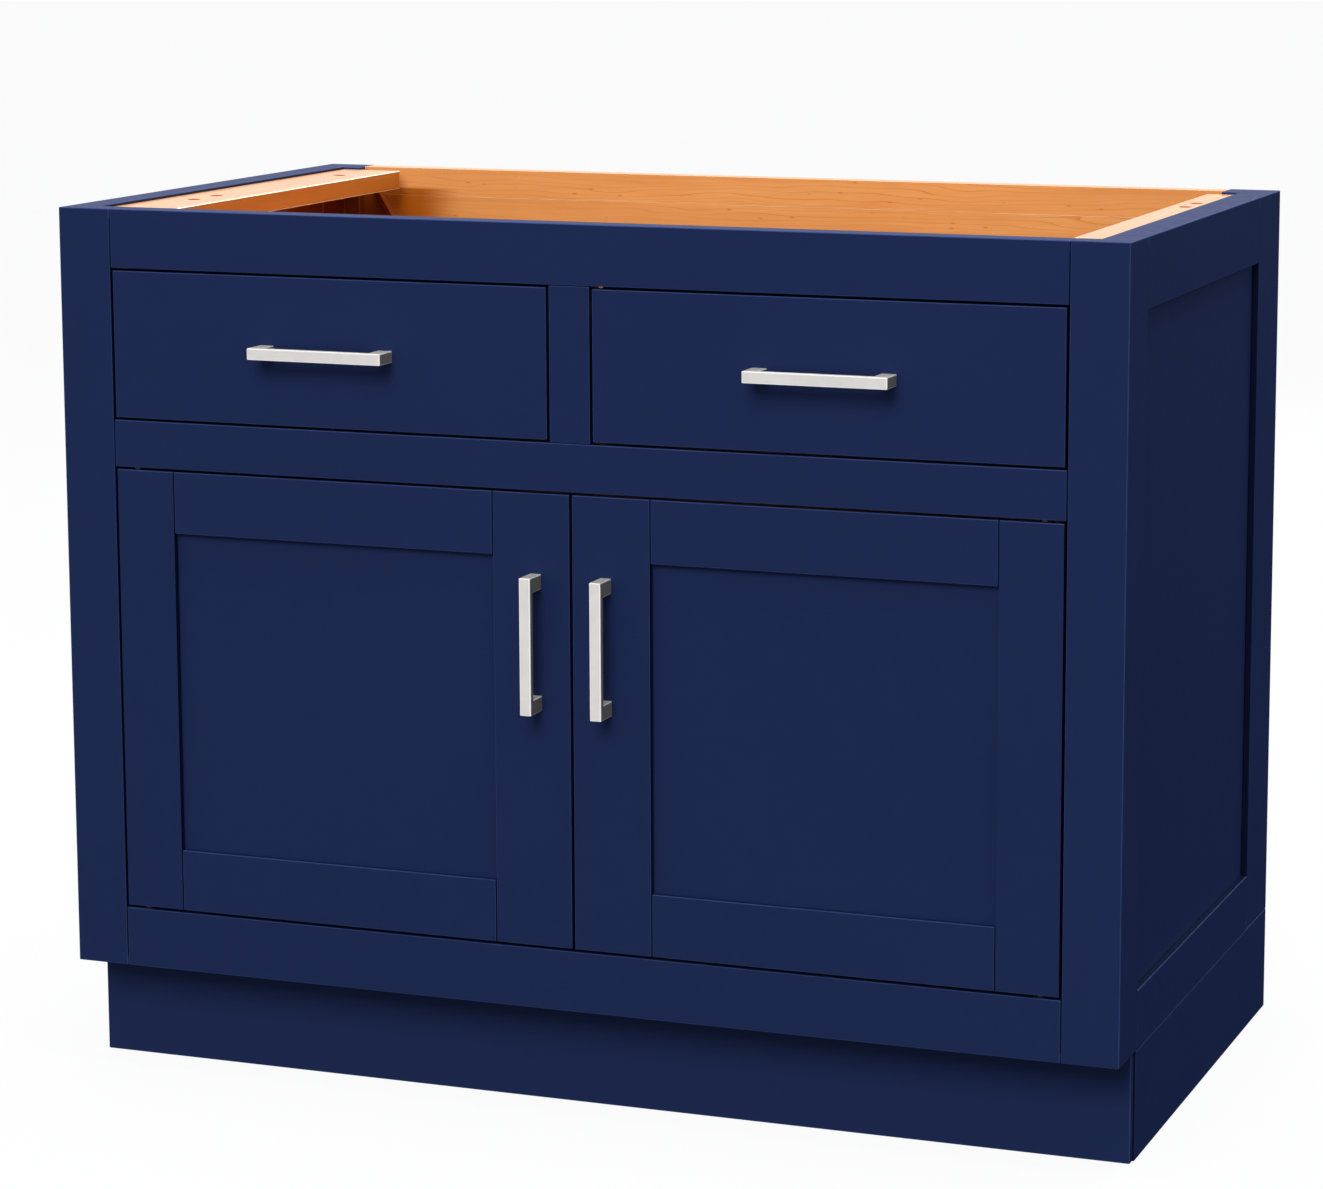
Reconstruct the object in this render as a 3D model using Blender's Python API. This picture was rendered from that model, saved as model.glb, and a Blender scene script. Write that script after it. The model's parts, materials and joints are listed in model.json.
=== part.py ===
"""Bathroom vanity cabinet: a painted face-frame carcass with an open top, two drawers and two doors.

Metres, +Z up, +Y towards the wall. The origin is the centre of the bounding box's bottom face. Shapes are
drawn in cabinet coordinates: x from the centre line, d back from the front face and z above the floor.
"""

from math import cos, pi, sin

import bmesh
import bpy
from mathutils import Matrix

# Driving dimensions
CABINET_WIDTH = 1.092
CABINET_DEPTH = 0.610
CABINET_HEIGHT = 0.876
TOUCHING_GAP = 0.0003
JOINT_LINE = 0.0006

# Front: face frame members, seen from the front
KICK_HEIGHT = 0.108
FACE_POST_WIDTH = 0.056
FACE_FRAME_THICKNESS = 0.0254
BOTTOM_RAIL_HEIGHT = 0.0605
DOOR_OPENING_HEIGHT = 0.451
MIDDLE_RAIL_HEIGHT = 0.047
DRAWER_OPENING_HEIGHT = 0.151
MULLION_WIDTH = 0.042
REVEAL = 0.0024

# Sides: frame and panel
SIDE_THICKNESS = 0.034
FRONT_POST_DEPTH = 0.065
REAR_POST_DEPTH = 0.093
SIDE_TOP_RAIL_HEIGHT = 0.067
SIDE_BOTTOM_RAIL_HEIGHT = 0.058
SIDE_PANEL_THICKNESS = 0.012
PANEL_RECESS = 0.007
GROOVE_DEPTH = 0.008
GROOVE_STOP = 0.010
TENON_LENGTH = 0.018
TENON_THICKNESS = 0.009
TENON_SHOULDER = 0.008
MULLION_TENON_LENGTH = 0.010

# Back, floor and base
RETURN_WIDTH = 0.019
RETURN_DEPTH = 0.040
BACK_SETBACK = 0.584
BACK_PANEL_THICKNESS = 0.012
BACK_RAIL_THICKNESS = 0.018
BACK_RAIL_STEP = 0.001
BACK_RAIL_HEIGHT = 0.030
BACK_GROOVE = 0.006
CLEAT_THICKNESS = 0.019
CLEAT_HEIGHT = 0.040
FLOOR_THICKNESS = 0.016
FLOOR_DROP = 0.0025
FLOOR_DADO = 0.010
TOE_SETBACK = 0.052
TOE_BOARD_THICKNESS = 0.009
TOE_BOARD_INSET = 0.0018
KICK_SIDE_THICKNESS = 0.018
KICK_REAR_THICKNESS = 0.016

# Top strips that the countertop is screwed to
STRIP_DROP = 0.0025
STRIP_HEIGHT = 0.020
STRIP_WIDTHS = {"left": 0.069, "right": 0.034}
STRIP_HOLES = {"left": (0.25, 0.33, 0.80), "right": (0.67, 0.745)}
STRIP_HOLE_RADIUS = 0.0048

# Drawers
DRAWER_FRONT_THICKNESS = 0.020
DRAWER_BOX_LENGTH = 0.420
DRAWER_SIDE_THICKNESS = 0.012
DRAWER_SIDE_CLEARANCE = 0.008
DRAWER_BOX_HEIGHT = 0.110
DRAWER_LIFT = 0.0015
DRAWER_BOTTOM_RISE = 0.006
DRAWER_BOTTOM_THICKNESS = 0.006
DRAWER_GROOVE = 0.005
DRAWER_HOUSING = 0.008
DRAWER_BACK_DROP = 0.006
SLIDE_RAIL_WIDTH = 0.024
SLIDE_RAIL_HEIGHT = 0.012
GUIDE_LENGTH = 0.050
GUIDE_WALL = 0.005
GUIDE_LEG = 0.009
GUIDE_CLEARANCE = 0.0006
GUIDE_FROM_REAR = 0.005

# Doors
DOOR_THICKNESS = 0.020
DOOR_OUTER_STILE = 0.062
DOOR_INNER_STILE = 0.080
DOOR_RAIL = 0.062
DOOR_PANEL_THICKNESS = 0.006
PIVOT_INSET = 0.020
PIVOT_SETBACK = 0.007
PIN_RADIUS = 0.004
PIN_DEPTH_IN_DOOR = 0.022
PIN_DEPTH_IN_BUSH = 0.008
BUSH_RADIUS = 0.006
BUSH_DEPTH = 0.010

# Bar pulls
DRAWER_PULL_LENGTH = 0.142
DOOR_PULL_LENGTH = 0.134
PULL_BAR_WIDTH = 0.0115
PULL_BAR_THICKNESS = 0.007
PULL_PROJECTION = 0.029
PULL_POST_LENGTH = 0.015
PULL_FROM_DOOR_EDGE = 0.035
PULL_DOWN_DOOR = 0.325

# Levels and places that follow
BOTTOM_RAIL_TOP = KICK_HEIGHT + BOTTOM_RAIL_HEIGHT
MIDDLE_RAIL_BOTTOM = BOTTOM_RAIL_TOP + DOOR_OPENING_HEIGHT
MIDDLE_RAIL_TOP = MIDDLE_RAIL_BOTTOM + MIDDLE_RAIL_HEIGHT
TOP_RAIL_BOTTOM = MIDDLE_RAIL_TOP + DRAWER_OPENING_HEIGHT
HALF_WIDTH = CABINET_WIDTH / 2
HALF_OPENING = HALF_WIDTH - FACE_POST_WIDTH
INNER_SIDE = HALF_WIDTH - SIDE_THICKNESS
RETURN_END = INNER_SIDE - RETURN_WIDTH
RETURN_FRONT = CABINET_DEPTH - RETURN_DEPTH
REAR_POST_FRONT = CABINET_DEPTH - REAR_POST_DEPTH
FLOOR_TOP = BOTTOM_RAIL_TOP - FLOOR_DROP
FLOOR_BOTTOM = FLOOR_TOP - FLOOR_THICKNESS
STRIP_TOP = CABINET_HEIGHT - STRIP_DROP
BACK_RAIL_BOTTOM = CABINET_HEIGHT - BACK_RAIL_HEIGHT
BEHIND_FACE_FRAME = FACE_FRAME_THICKNESS + TOUCHING_GAP
DOOR_BOTTOM = BOTTOM_RAIL_TOP + REVEAL
DOOR_TOP = MIDDLE_RAIL_BOTTOM - REVEAL
DOOR_OUTER_EDGE = HALF_OPENING - REVEAL
DOOR_INNER_EDGE = REVEAL / 2
PIVOT_X = DOOR_OUTER_EDGE - PIVOT_INSET
FRONT_Y = (PULL_PROJECTION - CABINET_DEPTH) / 2

SIDES = {"left": -1, "right": 1}

CABINET_TO_WORLD = Matrix.Translation((0, FRONT_Y, 0))


def clear_scene():
    """Empties the file, whatever it holds."""
    for obj in list(bpy.data.objects):
        bpy.data.objects.remove(obj, do_unlink=True)


def make_material(name, colour, roughness, metallic=0.0):
    material = bpy.data.materials.new(name)
    material.use_nodes = True
    shader = material.node_tree.nodes["Principled BSDF"]
    shader.inputs["Base Color"].default_value = (*colour, 1.0)
    shader.inputs["Roughness"].default_value = roughness
    shader.inputs["Metallic"].default_value = metallic
    return material


def make_pivot(name, x, d, z):
    """An empty on a joint's axis, which carries the pieces that move about it."""
    pivot = bpy.data.objects.new(name, None)
    bpy.context.scene.collection.objects.link(pivot)
    pivot.location = (x, FRONT_Y + d, z)
    bpy.context.view_layer.update()
    return pivot


def place(name, mesh, pivot=None):
    """An object for a mesh drawn in cabinet coordinates: fixed in the carcass, or carried by a pivot."""
    obj = bpy.data.objects.new(name, mesh)
    bpy.context.scene.collection.objects.link(obj)
    if pivot:
        obj.parent = pivot
        mesh.transform(pivot.matrix_world.inverted() @ CABINET_TO_WORLD)
    else:
        obj.matrix_world = CABINET_TO_WORLD
    return obj


def inside(point, box):
    low, high = box
    return all(low[axis] < point[axis] < high[axis] for axis in range(3))


def block_mesh(name, added, cut=()):
    """One closed mesh of the added boxes less the cut ones, each box a pair of opposite corners."""
    boxes = [[[round(value, 6) for value in corner] for corner in box] for box in (*added, *cut)]
    solid, removed = boxes[: len(added)], boxes[len(added) :]
    steps = [sorted({corner[axis] for box in boxes for corner in box}) for axis in range(3)]
    cells = [
        (i, j, k)
        for i in range(len(steps[0]) - 1)
        for j in range(len(steps[1]) - 1)
        for k in range(len(steps[2]) - 1)
    ]

    def is_filled(cell):
        middle = [(steps[axis][cell[axis]] + steps[axis][cell[axis] + 1]) / 2 for axis in range(3)]
        if any(inside(middle, box) for box in removed):
            return False
        return any(inside(middle, box) for box in solid)

    filled = {cell for cell in cells if is_filled(cell)}
    shape = bmesh.new()
    corners = {}

    def corner_at(key):
        if key not in corners:
            corners[key] = shape.verts.new([steps[axis][key[axis]] for axis in range(3)])
        return corners[key]

    for cell in sorted(filled):
        for axis in range(3):
            for side in (0, 1):
                neighbour = list(cell)
                neighbour[axis] += 2 * side - 1
                if tuple(neighbour) in filled:
                    continue
                face = []
                for u, v in ((0, 0), (1, 0), (1, 1), (0, 1)):
                    key = list(cell)
                    key[axis] += side
                    key[(axis + 1) % 3] += u
                    key[(axis + 2) % 3] += v
                    face.append(corner_at(tuple(key)))
                shape.faces.new(face if side else face[::-1])
    bmesh.ops.dissolve_limit(shape, angle_limit=0.01, verts=shape.verts[:], edges=shape.edges[:])
    mesh = bpy.data.meshes.new(name)
    shape.to_mesh(mesh)
    shape.free()
    return mesh


def cylinder_mesh(name, x, d, z_low, z_high, radius, sides=24):
    shape = bmesh.new()
    turns = [2 * pi * step / sides for step in range(sides)]
    rings = [
        [shape.verts.new((x + radius * cos(turn), d + radius * sin(turn), z)) for turn in turns]
        for z in (z_low, z_high)
    ]
    shape.faces.new(rings[0][::-1])
    shape.faces.new(rings[1])
    for step in range(sides):
        after = (step + 1) % sides
        shape.faces.new((rings[0][step], rings[0][after], rings[1][after], rings[1][step]))
    mesh = bpy.data.meshes.new(name)
    shape.to_mesh(mesh)
    shape.free()
    mesh.shade_smooth()
    mesh.set_sharp_from_angle(angle=0.6)
    return mesh


def drill(obj, x, d, z_low, z_high, radius):
    """Cuts an upright round hole with a hidden cutter."""
    cutter = place("cutter", cylinder_mesh("cutter", x, d, z_low, z_high, radius), obj.parent)
    cutter.hide_render = True
    cutter.display_type = "WIRE"
    cut = obj.modifiers.new("hole", "BOOLEAN")
    cut.operation = "DIFFERENCE"
    cut.solver = "EXACT"
    cut.object = cutter


def on_side(side, box):
    """A box drawn for the right half of the cabinet, or its mirror image in the left half."""
    (x0, d0, z0), (x1, d1, z1) = box
    if SIDES[side] > 0:
        return box
    return ((-x1, d0, z0), (-x0, d1, z1))


def half_block(name, side, added, cut=(), pivot=None):
    added = [on_side(side, box) for box in added]
    cut = [on_side(side, box) for box in cut]
    return place(name, block_mesh(name, added, cut), pivot)


def block(name, added, cut=(), pivot=None):
    return place(name, block_mesh(name, added, cut), pivot)


def face_rails():
    """Bottom and top of each rail of the face frame, by name."""
    return {
        "bottom": (KICK_HEIGHT, BOTTOM_RAIL_TOP),
        "middle": (MIDDLE_RAIL_BOTTOM, MIDDLE_RAIL_TOP),
        "top": (TOP_RAIL_BOTTOM, CABINET_HEIGHT),
    }


def tenon_box(x0, x1, z0, z1, slack=0.0):
    """The space of a tenon in the middle of the face frame's thickness; slack makes its mortise."""
    middle = FACE_FRAME_THICKNESS / 2
    half = TENON_THICKNESS / 2 + slack
    return ((x0 - slack, middle - half, z0 - slack), (x1 + slack, middle + half, z1 + slack))


def side_groove(d0, d1, z0, z1, slack=0.0):
    """The space in the side frame's thickness that holds its panel and its rails' tongues."""
    outer = HALF_WIDTH - PANEL_RECESS
    inner = outer - SIDE_PANEL_THICKNESS
    return ((inner - slack, d0 - slack, z0 - slack), (outer + slack, d1 + slack, z1 + slack))


def floor_dado(d0, d1):
    """The slot in a side that the cabinet floor's edge sits in."""
    reach = INNER_SIDE + FLOOR_DADO + TOUCHING_GAP
    return (
        (INNER_SIDE - TOUCHING_GAP, d0, FLOOR_BOTTOM - TOUCHING_GAP),
        (reach, d1, FLOOR_TOP + TOUCHING_GAP),
    )


def make_front_post(side):
    """Corner post, L-shaped in plan: the face frame's stile and the side frame's front stile."""
    face_leg = ((HALF_OPENING, 0, KICK_HEIGHT), (HALF_WIDTH, FACE_FRAME_THICKNESS, CABINET_HEIGHT))
    side_leg = ((INNER_SIDE, 0, KICK_HEIGHT), (HALF_WIDTH, FRONT_POST_DEPTH, CABINET_HEIGHT))
    mortises = [
        tenon_box(
            HALF_OPENING,
            HALF_OPENING + TENON_LENGTH,
            low + TENON_SHOULDER,
            high - TENON_SHOULDER,
            TOUCHING_GAP,
        )
        for low, high in face_rails().values()
    ]
    groove = side_groove(
        FRONT_POST_DEPTH - GROOVE_DEPTH,
        FRONT_POST_DEPTH,
        KICK_HEIGHT + GROOVE_STOP,
        CABINET_HEIGHT - GROOVE_STOP,
        TOUCHING_GAP,
    )
    dado = floor_dado(FACE_FRAME_THICKNESS, FRONT_POST_DEPTH)
    return half_block(f"front_post_{side}", side, [face_leg, side_leg], [*mortises, groove, dado])


def make_face_rail(name, low, high):
    reach = HALF_OPENING - JOINT_LINE
    board = ((-reach, 0, low), (reach, FACE_FRAME_THICKNESS, high))
    end = HALF_OPENING + TENON_LENGTH
    tenons = tenon_box(-end, end, low + TENON_SHOULDER, high - TENON_SHOULDER)
    half = MULLION_WIDTH / 2 - TENON_SHOULDER
    mortise = tenon_box(
        -half,
        half,
        MIDDLE_RAIL_TOP - MULLION_TENON_LENGTH,
        TOP_RAIL_BOTTOM + MULLION_TENON_LENGTH,
        TOUCHING_GAP,
    )
    return block(f"face_rail_{name}", [board, tenons], [] if name == "bottom" else [mortise])


def make_face_mullion():
    half = MULLION_WIDTH / 2
    board = (
        (-half, 0, MIDDLE_RAIL_TOP + JOINT_LINE),
        (half, FACE_FRAME_THICKNESS, TOP_RAIL_BOTTOM - JOINT_LINE),
    )
    tenons = tenon_box(
        TENON_SHOULDER - half,
        half - TENON_SHOULDER,
        MIDDLE_RAIL_TOP - MULLION_TENON_LENGTH,
        TOP_RAIL_BOTTOM + MULLION_TENON_LENGTH,
    )
    return block("face_mullion", [board, tenons])


def make_rear_post(side):
    """Rear corner post, L-shaped in plan: the side frame's rear stile and a return behind the back."""
    side_leg = ((INNER_SIDE, REAR_POST_FRONT, KICK_HEIGHT), (HALF_WIDTH, CABINET_DEPTH, CABINET_HEIGHT))
    return_leg = ((RETURN_END, RETURN_FRONT, KICK_HEIGHT), (INNER_SIDE, CABINET_DEPTH, CABINET_HEIGHT))
    groove = side_groove(
        REAR_POST_FRONT,
        REAR_POST_FRONT + GROOVE_DEPTH,
        KICK_HEIGHT + GROOVE_STOP,
        CABINET_HEIGHT - GROOVE_STOP,
        TOUCHING_GAP,
    )
    back_groove = (
        (RETURN_END - TOUCHING_GAP, BACK_SETBACK - TOUCHING_GAP, KICK_HEIGHT - TOUCHING_GAP),
        (
            RETURN_END + BACK_GROOVE,
            BACK_SETBACK + BACK_PANEL_THICKNESS + TOUCHING_GAP,
            BACK_RAIL_BOTTOM,
        ),
    )
    dado = floor_dado(REAR_POST_FRONT, RETURN_FRONT)
    return half_block(f"rear_post_{side}", side, [side_leg, return_leg], [groove, back_groove, dado])


def make_side_rail(name, side, low, high):
    """A rail of the side frame, with a tongue at each end and a groove along the edge by the panel."""
    front = FRONT_POST_DEPTH + JOINT_LINE
    rear = REAR_POST_FRONT - JOINT_LINE
    board = ((INNER_SIDE, front, low), (HALF_WIDTH, rear, high))
    tongue = side_groove(
        FRONT_POST_DEPTH - GROOVE_DEPTH,
        REAR_POST_FRONT + GROOVE_DEPTH,
        max(low, KICK_HEIGHT + GROOVE_STOP),
        min(high, CABINET_HEIGHT - GROOVE_STOP),
    )
    edge = low if name == "top" else high - GROOVE_DEPTH
    groove = side_groove(
        FRONT_POST_DEPTH - GROOVE_DEPTH,
        REAR_POST_FRONT + GROOVE_DEPTH,
        edge,
        edge + GROOVE_DEPTH,
        TOUCHING_GAP,
    )
    cut = [groove]
    if name == "bottom":
        cut.append(floor_dado(front, rear))
    return half_block(f"side_{side}_{name}_rail", side, [board, tongue], cut)


def make_side_panel(side, low, high):
    panel = side_groove(
        FRONT_POST_DEPTH - GROOVE_DEPTH,
        REAR_POST_FRONT + GROOVE_DEPTH,
        low - GROOVE_DEPTH,
        high + GROOVE_DEPTH,
    )
    return half_block(f"side_{side}_panel", side, [panel])


def make_side(side):
    low = KICK_HEIGHT + SIDE_BOTTOM_RAIL_HEIGHT
    high = CABINET_HEIGHT - SIDE_TOP_RAIL_HEIGHT
    return [
        make_front_post(side),
        make_rear_post(side),
        make_side_rail("top", side, high, CABINET_HEIGHT),
        make_side_rail("bottom", side, KICK_HEIGHT, low),
    ], make_side_panel(side, low, high)


def make_base():
    """The four boards of the recessed base, under the carcass."""
    top = KICK_HEIGHT - TOUCHING_GAP
    reach = HALF_WIDTH - TOE_BOARD_INSET
    behind_toe = TOE_SETBACK + TOE_BOARD_THICKNESS + TOUCHING_GAP
    boards = [block("toe_kick_front", [((-reach, TOE_SETBACK, 0), (reach, behind_toe - TOUCHING_GAP, top))])]
    inner = HALF_WIDTH - KICK_SIDE_THICKNESS
    for side in SIDES:
        board = ((inner, behind_toe, 0), (HALF_WIDTH, CABINET_DEPTH, top))
        boards.append(half_block(f"toe_kick_{side}", side, [board]))
    reach = inner - TOUCHING_GAP
    rear = ((-reach, CABINET_DEPTH - KICK_REAR_THICKNESS, 0), (reach, CABINET_DEPTH, top))
    boards.append(block("toe_kick_rear", [rear]))
    return boards


def make_cabinet_floor():
    """The floor board, let into both sides and notched round the rear posts' returns."""
    wide = INNER_SIDE + FLOOR_DADO
    narrow = RETURN_END - TOUCHING_GAP
    return block(
        "cabinet_floor",
        [
            ((-wide, BEHIND_FACE_FRAME, FLOOR_BOTTOM), (wide, RETURN_FRONT - TOUCHING_GAP, FLOOR_TOP)),
            ((-narrow, BEHIND_FACE_FRAME, FLOOR_BOTTOM), (narrow, BACK_SETBACK - TOUCHING_GAP, FLOOR_TOP)),
        ],
    )


def make_back():
    """The back panel, the rail a step behind it on top, and the cleat that carries the drawer slides."""
    reach = RETURN_END + BACK_GROOVE - TOUCHING_GAP
    narrow = RETURN_END - TOUCHING_GAP
    behind_panel = BACK_SETBACK + BACK_PANEL_THICKNESS
    panel = ((-reach, BACK_SETBACK, KICK_HEIGHT), (reach, behind_panel, BACK_RAIL_BOTTOM - TOUCHING_GAP))
    rail_front = BACK_SETBACK + BACK_RAIL_STEP
    rail = (
        (-narrow, rail_front, BACK_RAIL_BOTTOM),
        (narrow, rail_front + BACK_RAIL_THICKNESS, CABINET_HEIGHT),
    )
    cleat_rear = BACK_SETBACK - TOUCHING_GAP
    cleat = (
        (-narrow, cleat_rear - CLEAT_THICKNESS, MIDDLE_RAIL_TOP - CLEAT_HEIGHT),
        (narrow, cleat_rear, MIDDLE_RAIL_TOP),
    )
    return [block("back_panel", [panel]), block("back_rail", [rail]), block("slide_cleat", [cleat])]


def make_top_strip(side):
    """A strip inside the top of a side, with holes for the screws that hold the countertop."""
    outer = INNER_SIDE - TOUCHING_GAP
    inner = outer - STRIP_WIDTHS[side]
    low = STRIP_TOP - STRIP_HEIGHT
    board = ((inner, BEHIND_FACE_FRAME, low), (outer, RETURN_FRONT - TOUCHING_GAP, STRIP_TOP))
    strip = half_block(f"top_strip_{side}", side, [board])
    middle = SIDES[side] * (inner + outer) / 2
    for share in STRIP_HOLES[side]:
        depth = share * CABINET_DEPTH
        drill(strip, middle, depth, low - GROOVE_STOP, STRIP_TOP + GROOVE_STOP, STRIP_HOLE_RADIUS)
    return strip


def make_slide_rail(side):
    """The wooden rail under the middle of a drawer, from the middle rail to the cleat at the back."""
    middle = (HALF_OPENING + MULLION_WIDTH / 2) / 2
    half = SLIDE_RAIL_WIDTH / 2
    rear = BACK_SETBACK - CLEAT_THICKNESS - 2 * TOUCHING_GAP
    board = (
        (middle - half, BEHIND_FACE_FRAME, MIDDLE_RAIL_TOP - SLIDE_RAIL_HEIGHT),
        (middle + half, rear, MIDDLE_RAIL_TOP),
    )
    return half_block(f"drawer_slide_{side}", side, [board])


def make_pull(name, x, z, length, upright, pivot):
    """A square bar pull on two posts flush with its ends."""
    long, half = length / 2, PULL_BAR_WIDTH / 2
    back_of_bar = PULL_BAR_THICKNESS - PULL_PROJECTION
    spans = [
        (-long, long, -PULL_PROJECTION, back_of_bar),
        (-long, PULL_POST_LENGTH - long, -PULL_PROJECTION, -TOUCHING_GAP),
        (long - PULL_POST_LENGTH, long, -PULL_PROJECTION, -TOUCHING_GAP),
    ]
    boxes = []
    for low, high, front, rear in spans:
        if upright:
            boxes.append(((x - half, front, z + low), (x + half, rear, z + high)))
        else:
            boxes.append(((x + low, front, z - half), (x + high, rear, z + half)))
    return block(name, boxes, pivot=pivot)


def make_drawer(side):
    """A drawer: painted front, two sides housed in it, a back and a bottom, and a guide for the slide."""
    name = f"drawer_{side}"
    middle = (HALF_OPENING + MULLION_WIDTH / 2) / 2
    half_opening = (HALF_OPENING - MULLION_WIDTH / 2) / 2
    low, high = MIDDLE_RAIL_TOP + REVEAL, TOP_RAIL_BOTTOM - REVEAL
    pivot = make_pivot(f"{name}_axis", SIDES[side] * middle, 0, (low + high) / 2)
    half_front = half_opening - REVEAL
    outer = half_opening - DRAWER_SIDE_CLEARANCE
    inner = outer - DRAWER_SIDE_THICKNESS
    box_low = MIDDLE_RAIL_TOP + DRAWER_LIFT
    box_high = box_low + DRAWER_BOX_HEIGHT
    rear = DRAWER_FRONT_THICKNESS + DRAWER_BOX_LENGTH
    bottom_low = box_low + DRAWER_BOTTOM_RISE
    bottom_high = bottom_low + DRAWER_BOTTOM_THICKNESS
    side_front = DRAWER_FRONT_THICKNESS - DRAWER_HOUSING
    bottom_front = DRAWER_FRONT_THICKNESS - DRAWER_GROOVE
    reach = inner + DRAWER_GROOVE
    gap = TOUCHING_GAP

    side_centres = {sign: middle + sign * (inner + outer) / 2 for sign in (-1, 1)}
    half_side = DRAWER_SIDE_THICKNESS / 2
    housings = [
        (
            (centre - half_side - gap, side_front - gap, box_low - gap),
            (centre + half_side + gap, rear, box_high + gap),
        )
        for centre in side_centres.values()
    ]
    bottom_slot = (
        (middle - reach - gap, bottom_front - gap, bottom_low - gap),
        (middle + reach + gap, rear + gap, bottom_high + gap),
    )
    slab = ((middle - half_front, 0, low), (middle + half_front, DRAWER_FRONT_THICKNESS, high))
    front = half_block(f"{name}_front", side, [slab], [*housings, bottom_slot], pivot)

    boards = []
    for sign, centre in side_centres.items():
        board = ((centre - half_side, side_front, box_low), (centre + half_side, rear, box_high))
        hand = "left" if sign * SIDES[side] < 0 else "right"
        boards.append(half_block(f"{name}_side_{hand}", side, [board], [bottom_slot], pivot))
    back = (
        (middle - inner + gap, rear - DRAWER_SIDE_THICKNESS, bottom_high + gap),
        (middle + inner - gap, rear, box_high - DRAWER_BACK_DROP),
    )
    boards.append(half_block(f"{name}_back", side, [back], pivot=pivot))
    bottom = ((middle - reach, bottom_front, bottom_low), (middle + reach, rear, bottom_high))
    boards.append(half_block(f"{name}_bottom", side, [bottom], pivot=pivot))

    guide_rear = rear - GUIDE_FROM_REAR
    bore = SLIDE_RAIL_WIDTH / 2 + GUIDE_CLEARANCE
    legs = MIDDLE_RAIL_TOP - GUIDE_LEG
    saddle = (
        (middle - bore - GUIDE_WALL, guide_rear - GUIDE_LENGTH, legs),
        (middle + bore + GUIDE_WALL, guide_rear, bottom_low - gap),
    )
    channel = (
        (middle - bore, guide_rear - GUIDE_LENGTH - gap, legs - gap),
        (middle + bore, guide_rear + gap, MIDDLE_RAIL_TOP + GUIDE_CLEARANCE),
    )
    guide = half_block(f"{name}_guide", side, [saddle], [channel], pivot)
    pull_x, pull_z = SIDES[side] * middle, (low + high) / 2
    pull = make_pull(f"{name}_pull", pull_x, pull_z, DRAWER_PULL_LENGTH, False, pivot)
    return front, boards, guide, pull


def make_door_frame(side, pivot):
    """Two stiles and two rails with a groove round the inside, and tongues that join them."""
    inner_face = DOOR_INNER_EDGE + DOOR_INNER_STILE
    outer_face = DOOR_OUTER_EDGE - DOOR_OUTER_STILE
    panel_front, panel_rear = PANEL_RECESS, PANEL_RECESS + DOOR_PANEL_THICKNESS
    groove_low, groove_high = DOOR_BOTTOM + GROOVE_STOP, DOOR_TOP - GROOVE_STOP
    gap = TOUCHING_GAP

    def groove(x0, x1, z0, z1, slack=0.0):
        return (
            (x0 - slack, panel_front - slack, z0 - slack),
            (x1 + slack, panel_rear + slack, z1 + slack),
        )

    pieces = []
    for name, x0, x1, edge in (
        ("inner_stile", DOOR_INNER_EDGE, inner_face, inner_face),
        ("outer_stile", outer_face, DOOR_OUTER_EDGE, outer_face),
    ):
        board = ((x0, 0, DOOR_BOTTOM), (x1, DOOR_THICKNESS, DOOR_TOP))
        cut = groove(edge - GROOVE_DEPTH, edge + GROOVE_DEPTH, groove_low, groove_high, gap)
        pieces.append(half_block(f"door_{side}_{name}", side, [board], [cut], pivot))
    left, right = inner_face - GROOVE_DEPTH, outer_face + GROOVE_DEPTH
    for name, z0, z1, edge in (
        ("bottom_rail", DOOR_BOTTOM, DOOR_BOTTOM + DOOR_RAIL, DOOR_BOTTOM + DOOR_RAIL),
        ("top_rail", DOOR_TOP - DOOR_RAIL, DOOR_TOP, DOOR_TOP - DOOR_RAIL),
    ):
        board = ((inner_face + JOINT_LINE, 0, z0), (outer_face - JOINT_LINE, DOOR_THICKNESS, z1))
        tongue = groove(left, right, max(z0, groove_low), min(z1, groove_high))
        cut = groove(left, right, edge - GROOVE_DEPTH, edge + GROOVE_DEPTH, gap)
        pieces.append(half_block(f"door_{side}_{name}", side, [board, tongue], [cut], pivot))
    bottom = DOOR_BOTTOM + DOOR_RAIL - GROOVE_DEPTH
    top = DOOR_TOP - DOOR_RAIL + GROOVE_DEPTH
    pieces.append(half_block(f"door_{side}_panel", side, [groove(left, right, bottom, top)], pivot=pivot))
    return pieces


def make_door(side):
    """A framed door on two pins in its outer stile, and its pull."""
    middle = (DOOR_BOTTOM + DOOR_TOP) / 2
    x = SIDES[side] * PIVOT_X
    pivot = make_pivot(f"door_{side}_axis", x, PIVOT_SETBACK, middle)
    pieces = make_door_frame(side, pivot)
    stile = pieces[1]
    pins = []
    for end, edge, rail, way in (
        ("upper", DOOR_TOP, MIDDLE_RAIL_BOTTOM, 1),
        ("lower", DOOR_BOTTOM, BOTTOM_RAIL_TOP, -1),
    ):
        foot, tip = sorted((edge - way * PIN_DEPTH_IN_DOOR, rail + way * PIN_DEPTH_IN_BUSH))
        name = f"door_{side}_{end}_pin"
        pins.append(place(name, cylinder_mesh(name, x, PIVOT_SETBACK, foot, tip, PIN_RADIUS), pivot))
        foot, tip = sorted((edge - way * (PIN_DEPTH_IN_DOOR + TOUCHING_GAP), edge + way * BUSH_DEPTH))
        drill(stile, x, PIVOT_SETBACK, foot, tip, PIN_RADIUS + TOUCHING_GAP)
    pull_x = SIDES[side] * (DOOR_INNER_EDGE + PULL_FROM_DOOR_EDGE)
    pull_z = DOOR_TOP - PULL_DOWN_DOOR * (DOOR_TOP - DOOR_BOTTOM)
    pull = make_pull(f"door_{side}_pull", pull_x, pull_z, DOOR_PULL_LENGTH, True, pivot)
    return pieces, pins, pull


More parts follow.
